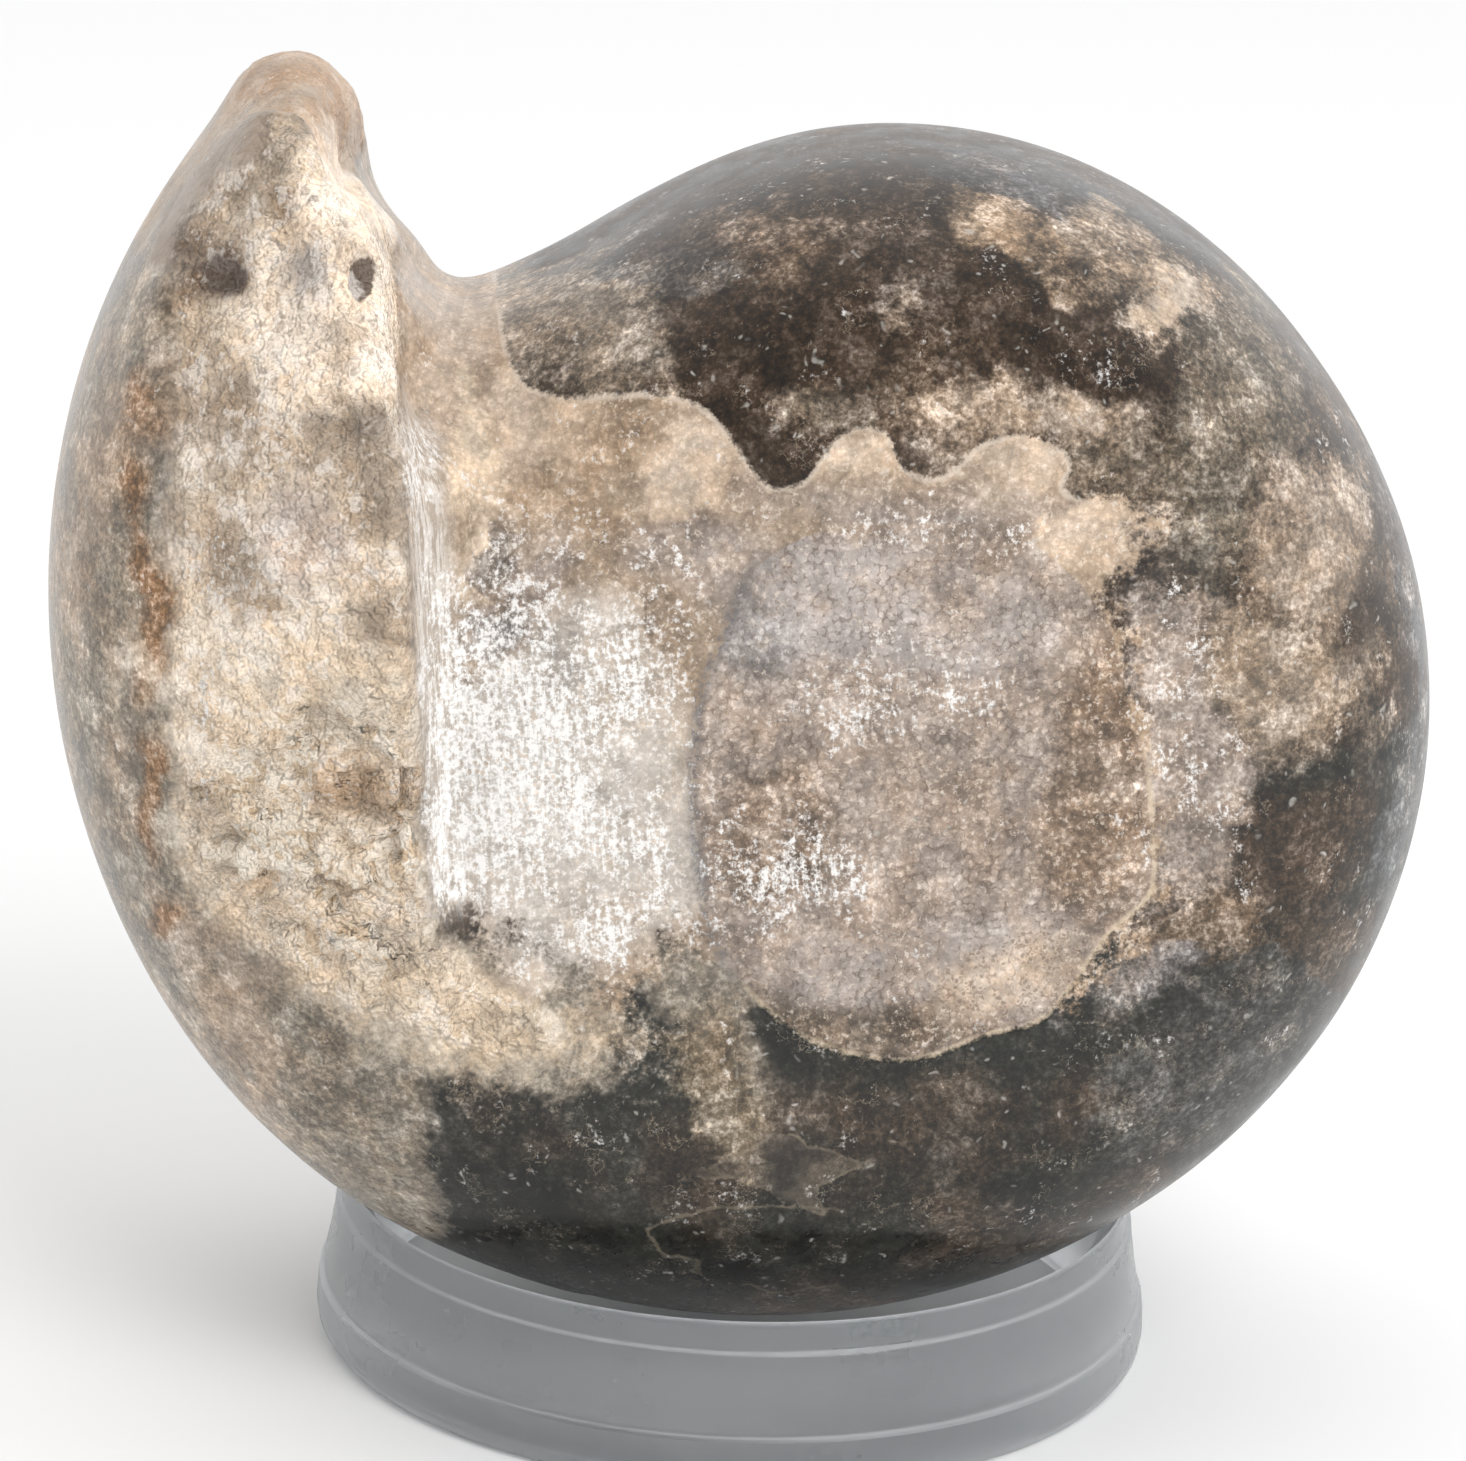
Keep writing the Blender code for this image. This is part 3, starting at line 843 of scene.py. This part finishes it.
# Streaks left by grinding lean a little more to the right of the shell
lean = times_plus(split[0], 0.0022, 0.12)
streak_x, streak_z = times_plus(split[2], lean, split[0]), times(split[2], 0.13)
streak_place = add("ShaderNodeCombineXYZ", X=streak_x, Y=split[1], Z=streak_z).outputs[0]
streak = ramp(noise_node(streak_place, 2.0, 2, 0.8), 0.30, 0.70)


def cover(tone, name, wander, amount=10.0, soft=2.4):
    """Lays a patch layer over a tone, its edge torn by noise."""
    torn = times_plus(wander, amount, stored(name + "_depth"))
    share = times(ramp(torn, -soft, soft), stored(name + "_tone", "Alpha"))
    return mix(share, tone, stored(name + "_tone", "Color"))


# Whorl: calcite with torn clouds, darker below
broken = stored("broken")
torn_flank = times_plus(rag_green, 7.0, stored("dark_depth"))
low_share = times(ramp(torn_flank, -0.9, 0.9), ramp(broken, 0.5, 0.2))
outer = mix(low_share, stored("whorl_tone", "Color"), stored("low_tone", "Color"))
outer = cover(outer, "cloud", rag_red)
outer = cover(outer, "spot", rag_blue, amount=4.0, soft=0.8)
inner_tone = cover(matrix_tan, "inner_cloud", rag_green, amount=8.0, soft=1.6)

# Borders: sharp along the suture and round the plug, and torn where the matrix runs out
edge_wander = times(grain, 0.10)
suture_depth = calc("ADD", stored("inner_depth"), edge_wander)
disc_edge = calc("ADD", stored("disc_depth"), edge_wander)
loose = stored("loose_border")
torn_border = times_plus(times(loose, rag_green), 16.0, suture_depth)
border_width = times_plus(loose, 1.2, 0.08)
is_inner = ramp(torn_border, times(border_width, -1.0), border_width)
is_disc = ramp(disc_edge, -0.08, 0.08)
is_flat = calc("MAXIMUM", is_inner, is_disc)
tone = mix(is_inner, outer, inner_tone)
tone = mix(is_disc, tone, stored("disc_tone", "Color"))

# Crystals differ in shade, as tone * 2 ** shade, and less so where the stone is pale or broken
calm = times_plus(is_disc, 0.10, times_plus(is_inner, -0.15, 1.0))
calm = times_plus(broken, -0.30, times_plus(stored("tip"), -0.55, calm))
facet_draw = stored("facet_draw")
shade = times_plus(rag_blue, 6.0, times(off_middle(facet_draw), 0.8))
shade = calc("ADD", shade, times_plus(grain, 0.55, times(off_middle(bit_tone[0]), 0.8)))
shade = times_plus(off_middle(speck_tone[2]), times(stored("flat_front"), 0.6), shade)
brightness = add("ShaderNodeRGBToBW", Color=tone).outputs[0]
contrast = times(ramp(brightness, 0.05, 0.40, 1.45, 0.46), calm)
shade = times(shade, contrast)
tone = mix(1.0, tone, calc("POWER", 2.0, shade), "MULTIPLY")
paler = ramp(shade, -0.2, 1.6, 1.0, 0.62)
tone = add("ShaderNodeHueSaturation", Color=tone, Saturation=paler).outputs[0]
warmed = mix(1.0, tone, (1.18, 0.96, 0.72), "MULTIPLY")
tone = stain(tone, ramp(rag_green, -0.10, 0.14), 0.42, warmed)

# Seams: thin pale lines between crystals
seam = times(near_zero(calc("ADD", rag_red, -0.02), 0.009, 0.002), ramp(rag_green, -0.02, 0.08))
tone = stain(tone, seam, 0.38, mix(broken, (0.40, 0.33, 0.25), (0.86, 0.80, 0.72)))

# Veins: a star-shaped grey-brown patch and a leaf-shaped line, low on the dark flank
star_edge = times_plus(rag_blue, 1.6, stored("star_depth"))
leaf_edge = times_plus(rag_red, 2.0, stored("leaf_depth"))
star_tone = mix(ramp(rag_green, -0.12, 0.14), (0.055, 0.043, 0.034), (0.24, 0.195, 0.15))
tone = stain(tone, ramp(star_edge, -0.20, 0.35), 0.32, star_tone)
star_line = times(near_zero(star_edge, 0.18, 0.04), ramp(rag_red, -0.10, 0.06))
leaf_line = times(near_zero(leaf_edge, 0.22, 0.05), stored("leaf_near"))
vein = calc("MAXIMUM", star_line, leaf_line)
tone = stain(tone, vein, ramp(rag_blue, -0.15, 0.10, 0.10, 0.42), (0.31, 0.255, 0.185))

# Flecks and glints: single bits made paler, as painted highlights where they catch the light
fleck_highlight = times(ramp(bit_distance, 0.32, 0.10), ramp(bit_tone[1], 0.78, 0.90))
tone = stain(tone, fleck_highlight, 0.40, (0.62, 0.59, 0.54))
glint_highlight_chance = times_plus(rag_green, 1.2, bit_tone[2])
glint_highlight = times(ramp(bit_distance, 0.20, 0.07), ramp(glint_highlight_chance, 0.86, 0.96))
tone = stain(tone, glint_highlight, 0.45, (0.60, 0.57, 0.52))

# Tooth: the smooth facet at its left
smooth_facet = ramp(times_plus(rag_green, 0.8, stored("facet_depth")), -0.15, 0.25)
facet_tone = mix(ramp(rag_red, -0.15, 0.15), (0.235, 0.165, 0.115), (0.33, 0.255, 0.195))
tone = stain(tone, smooth_facet, 0.85, facet_tone)

# Broken flank: pale frosted faces that also stand in for painted glints, darker faces of painted shade,
# amber and clear crystals, and oval pits in the matrix
chance = times_plus(facet_draw, 0.45, times(bit_tone[2], 0.55))
chance = times_plus(rag_blue, 2.6, chance)
tone = stain(tone, times(ramp(chance, 0.60, 0.78), broken), 0.42, (0.92, 0.86, 0.79))
# Painted shade: some broken faces are darkened as if turned away from the light
tone = stain(tone, times(ramp(chance, 0.22, 0.14), broken), 0.25, (0.30, 0.22, 0.155))
crystal_share = times(stored("crystals"), ramp(facet_draw, 0.40, 0.60))
crystal_tone = mix(ramp(bit_tone[0], 0.2, 0.5), (0.64, 0.46, 0.28), (0.92, 0.83, 0.70))
tone = stain(tone, crystal_share, 0.55, crystal_tone)
pit = times(ramp(bit_distance, 0.50, 0.30), ramp(bit_tone[2], 0.62, 0.74))
tone = stain(tone, times(stored("pitted"), pit), 0.42, (0.24, 0.16, 0.10))
# Painted shade: the hollow at the tooth's left is coloured almost black
shade_in_hollow = ramp(times_plus(rag_red, 2.0, stored("dark_hollow")), -0.15, 0.35)
tone = stain(tone, shade_in_hollow, 0.85, (0.115, 0.085, 0.07))
# The half-moon hole: a pale floor, with a painted shadow crescent along its right and upper edge
hole_and_shadow = ramp(times_plus(rag_red, 0.8, stored("round_hole")), -0.08, 0.12)
hole_floor_share = ramp(times_plus(rag_blue, 1.2, stored("hole_floor")), -0.10, 0.20)
tone = stain(tone, hole_and_shadow, 0.92, mix(hole_floor_share, (0.11, 0.075, 0.055), (0.52, 0.47, 0.44)))

# Plug: pale grains half a millimetre wide with dark gaps, and darker specks in the cream stretch
gap_edge = ramp(times_plus(grain, 0.07, speck_distance), 0.38, 0.60)
gap_share = times(gap_edge, ramp(times_plus(rag_red, 2.2, grain), -0.35, 0.45))
grains = times(calc("MAXIMUM", is_disc, times(is_inner, 0.55)), gap_share)
tone = stain(tone, grains, 0.75, mix(1.0, tone, (0.34, 0.30, 0.27), "MULTIPLY"))
speck = ramp(times_plus(grain, 0.12, speck_distance), 0.36, 0.18)
speck = times(speck, ramp(speck_tone[1], 0.62, 0.72))
tone = stain(tone, times(speck, stored("disc_cream")), 0.55, (0.15, 0.11, 0.08))
pale_chance = times_plus(rag_green, 1.5, speck_tone[0])
pale = times(ramp(grain, 0.10, 0.75), ramp(pale_chance, 0.55, 0.90))
tone = stain(tone, times(pale, is_flat), 0.50, (0.70, 0.60, 0.50))

# Rims: a pale cream line along the suture and round the plug, and a dark line of painted shade along the
# groove at the plug's left
suture_line = times(near_zero(suture_depth, 0.30, 0.05), stored("suture_near"))
suture_strength = times(ramp(rag_red, -0.20, 0.08), 0.70)
tone = stain(tone, suture_line, suture_strength, (0.64, 0.54, 0.44))
disc_line = times(near_zero(disc_edge, 0.32, 0.05), stored("disc_rim"))
disc_strength = times(ramp(rag_blue, -0.12, 0.08), 0.70)
tone = stain(tone, disc_line, disc_strength, (0.62, 0.50, 0.36))
disc_groove_shade = times(near_zero(disc_edge, 0.75, 0.10), stored("disc_shadow"))
groove_shade_strength = ramp(times_plus(rag_red, 2.0, grain), -0.5, 0.4, 0.2, 0.75)
tone = stain(tone, disc_groove_shade, groove_shade_strength, (0.12, 0.115, 0.12))

# Wall and ground powder: streaks drawn along the grinding, with specks of the stone left between
wall_tone = mix(ramp(streak, 0.25, 0.70), (0.44, 0.38, 0.325), (0.73, 0.69, 0.64))
tone = stain(tone, stored("wall"), 0.8, wall_tone)
wanted = times_plus(stored("powder"), 1.54, times_plus(rag_green, 3.4, -1.0))
wanted = calc("ADD", wanted, times_plus(grain, 0.40, times(streak, 0.38)))
wanted = times_plus(off_middle(bit_tone[1]), 0.45, wanted)
gap_chance = times_plus(streak, -0.7, speck_tone[1])
gap = times(ramp(speck_distance, 0.44, 0.22), ramp(gap_chance, 0.30, 0.42))
powder_share = times(ramp(wanted, -0.20, 0.80), times_plus(gap, -0.80, 0.95))
dust = mix(ramp(calc("ADD", grain, streak), -0.6, 1.1), (0.50, 0.47, 0.435), (0.87, 0.85, 0.83))
tone = mix(powder_share, tone, dust)

# Finish: a low polish, matt where it is broken or ground, with chips and the plug's shallow step
polish = ramp(rag_blue, -0.2, 0.2, 0.22, 0.38)
roughness = calc("MAXIMUM", times_plus(broken, 0.40, polish), times(powder_share, 0.85))
chip_depth = times_plus(stored("crystals"), 0.5, times(broken, 1.5))
chips = times(noise_node(place, 1.0, 2, 0.8), chip_depth)
step_edge = times(near_zero(stored("disc_depth"), 0.45, 0.05), stored("disc_rim"))
height = times_plus(step_edge, -0.10, chips)
bump = add("ShaderNodeBump", Height=height, Distance=MM, Strength=0.9)

for socket, value in (("Base Color", tone), ("Roughness", roughness), ("Normal", bump.outputs[0])):
    tree.links.new(value, shader.inputs[socket])
shader.inputs["IOR"].default_value = 1.48
stone_mesh.materials.append(stone_material)


# The display ring
# The real ring is clear acrylic, turned with a flared foot and a bevelled seat, and polished.
# It is drawn as a profile of (radius, height) in millimetres, turned about the ring's own axis.

ring_height = (ring_high[2] - ring_low[2]) / MM
foot_radius = (ring_high[0] - ring_low[0]) / 2 / MM
seat_corners = ((26.4, ring_height - 2.3), (27.8, ring_height - 0.3), (28.1, ring_height - 0.05))
rim_corners = ((28.25, ring_height - 0.3), (28.3, ring_height - 0.6), (28.34, 9.7), (28.42, 9.48))
side_corners = (
    (28.6, 9.36), (28.72, 9.2), (28.86, 7.9), (29.15, 6.1), (29.42, 4.7), (29.5, 4.1),
    (29.46, 3.85), (29.6, 3.6),
)
foot_corners = (
    (29.84, 3.4), (29.93, 2.6), (foot_radius - 0.02, 1.4), (29.85, 0.6), (29.4, 0.0),
    (26.7, 0.0), (26.4, 0.3),
)
ring_corners = seat_corners + rim_corners + side_corners + foot_corners
turns = 360
corners = np.array(ring_corners)
angles = np.arange(turns) * FULL_TURN / turns
ring_points = np.stack([
    ring_foot[0] + MM * np.outer(np.cos(angles), corners[:, 0]),
    ring_foot[1] + MM * np.outer(np.sin(angles), corners[:, 0]),
    ring_foot[2] + MM * np.outer(np.ones(turns), corners[:, 1]),
], axis=-1).reshape(-1, 3)
a, k = np.meshgrid(np.arange(turns), np.arange(len(corners)), indexing="ij")
count = len(corners)
next_a, next_k = (a + 1) % turns, (k + 1) % count
this_side, next_side = a * count, next_a * count
ring_quads = np.stack([this_side + k, this_side + next_k, next_side + next_k, next_side + k], axis=-1)
ring_mesh = bpy.data.meshes.new("clear_ring")
ring_mesh.from_pydata(ring_points.tolist(), [], ring_quads.reshape(-1, 4).tolist())
ring_mesh.shade_smooth()
ring_mesh.set_sharp_from_angle(angle=math.radians(40))
ring = bpy.data.objects.new("clear_ring", ring_mesh)
bpy.context.scene.collection.objects.link(ring)
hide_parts("stand_ring")
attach(ring, "root")

on_seat = (np.arange(count) < len(seat_corners)).astype(np.float32)
seat = ring_mesh.attributes.new("seat", "FLOAT", "POINT")
seat.data.foreach_set("value", np.tile(on_seat, turns))

acrylic, tree, shader = nodes_of("clear_acrylic")
place = millimetre_place()
height = add("ShaderNodeSeparateXYZ", Vector=place).outputs[2]
# Painted highlights: the seat and the outside's steps are made paler, less clear and rougher
painted_highlight_lines = times(stored("seat"), 0.55)
# Fine pale lines of painted highlight where the outside steps: height, half width and strength
ledges = ((9.42, 0.15, 0.40), (3.66, 0.15, 0.30), (0.5, 0.5, 0.15))
for ledge, half_wide, strength in ledges:
    above = calc("ABSOLUTE", calc("SUBTRACT", height, ledge))
    painted_highlight_lines = calc("MAXIMUM", painted_highlight_lines, ramp(above, half_wide, half_wide / 4, 0.0, strength))
haze = noise_node(place, 0.12, 3, 0.6)
# Noise breaks up the painted highlight lines
highlight_breakup = noise_node(place, 1.6, 2, 0.7)
painted_highlight_lines = times(painted_highlight_lines, ramp(highlight_breakup, 0.25, 0.6, 0.55, 1.0))
body_tone = mix(ramp(haze, 0.3, 0.7), (0.67, 0.695, 0.715), (0.73, 0.745, 0.765))
ring_tone = mix(painted_highlight_lines, body_tone, (0.88, 0.89, 0.90))
see_through = times_plus(painted_highlight_lines, -0.6, 1.0)
ring_roughness = times_plus(painted_highlight_lines, 0.55, ramp(haze, 0.3, 0.7, 0.26, 0.34))
tree.links.new(ring_tone, shader.inputs["Base Color"])
tree.links.new(see_through, shader.inputs["Transmission Weight"])
tree.links.new(ring_roughness, shader.inputs["Roughness"])
shader.inputs["IOR"].default_value = 1.49
ring_mesh.materials.append(acrylic)


# Floor, light and camera
# A pale floor that runs on as a pale world, broad soft light like a light tent's, and the photo's view.

floor_mesh = bpy.data.meshes.new("floor")
reach, drop = 4.0, 0.0002
floor_corners = [(-reach, -reach, 0), (reach, -reach, 0), (reach, reach, 0), (-reach, reach, 0)]
floor_mesh.from_pydata(floor_corners, [], [(0, 1, 2, 3)])
floor = bpy.data.objects.new("floor", floor_mesh)
floor.location.z = -drop
bpy.context.scene.collection.objects.link(floor)
floor_material, tree, shader = nodes_of("floor_white")
shader.inputs["Base Color"].default_value = (0.90, 0.90, 0.90, 1.0)
shader.inputs["Roughness"].default_value = 0.9
floor_mesh.materials.append(floor_material)

world = bpy.data.worlds.new("tent")
world.use_nodes = True
tree = world.node_tree
sky = tree.nodes["Background"]
sky.inputs["Color"].default_value = (1.0, 1.0, 1.0, 1.0)
sky_place = tree.nodes.new("ShaderNodeTexCoord").outputs["Generated"]
facing = add("ShaderNodeSeparateXYZ", Vector=sky_place).outputs
to_back = ramp(facing[1], -0.7, 0.5, 0.55, 1.15)
right_light, left_light = ramp(facing[0], 0.2, 0.9, 1.0, 1.45), ramp(facing[0], -0.9, -0.3, 0.1, 0.0)
tree.links.new(times(to_back, calc("ADD", right_light, left_light)), sky.inputs["Strength"])
bpy.context.scene.world = world
bpy.context.scene.view_settings.view_transform = "Standard"


def soft_light(name, place, target, size, power):
    """A square area light that faces the target."""
    light = bpy.data.lights.new(name, "AREA")
    light.size = size
    light.energy = power
    lamp = bpy.data.objects.new(name, light)
    lamp.location = place
    aim = target - np.array(place)
    lamp.rotation_euler = mathutils.Vector(aim).to_track_quat("-Z", "Y").to_euler()
    bpy.context.scene.collection.objects.link(lamp)
    return lamp


middle_height, fill_size, fill_power = 0.045, 0.5, 4.2
middle = ring_foot + np.array([0, 0, middle_height])
fill = soft_light("front_fill", (0.35, -0.55, 0.65), middle, fill_size, fill_power)
fill.visible_glossy = False

view_distance = 0.400
elevation = math.radians(17.2)
roll = math.radians(-2.59)
focal_pixels, picture_wide, picture_high = 5672, 1466, 1461
target_pixel = (755.8, 726.0)
back = np.array([0, -math.cos(elevation), math.sin(elevation)])
level_right, level_up = np.array([1.0, 0, 0]), np.array([0, math.sin(elevation), math.cos(elevation)])
camera_right = level_right * math.cos(roll) - level_up * math.sin(roll)
camera_up = level_right * math.sin(roll) + level_up * math.cos(roll)
camera_data = bpy.data.cameras.new("camera")
camera_data.sensor_width = 36.0
camera_data.lens = focal_pixels / picture_wide * camera_data.sensor_width
camera_data.shift_x = -(target_pixel[0] - picture_wide / 2) / picture_wide
camera_data.shift_y = (target_pixel[1] - picture_high / 2) / picture_wide
camera_data.clip_start = 0.01
camera = bpy.data.objects.new("camera", camera_data)
spot = middle + back * view_distance
rows = [[camera_right[i], camera_up[i], back[i], spot[i]] for i in range(3)] + [[0, 0, 0, 1]]
camera.matrix_world = mathutils.Matrix(rows)
bpy.context.scene.collection.objects.link(camera)
bpy.context.scene.camera = camera
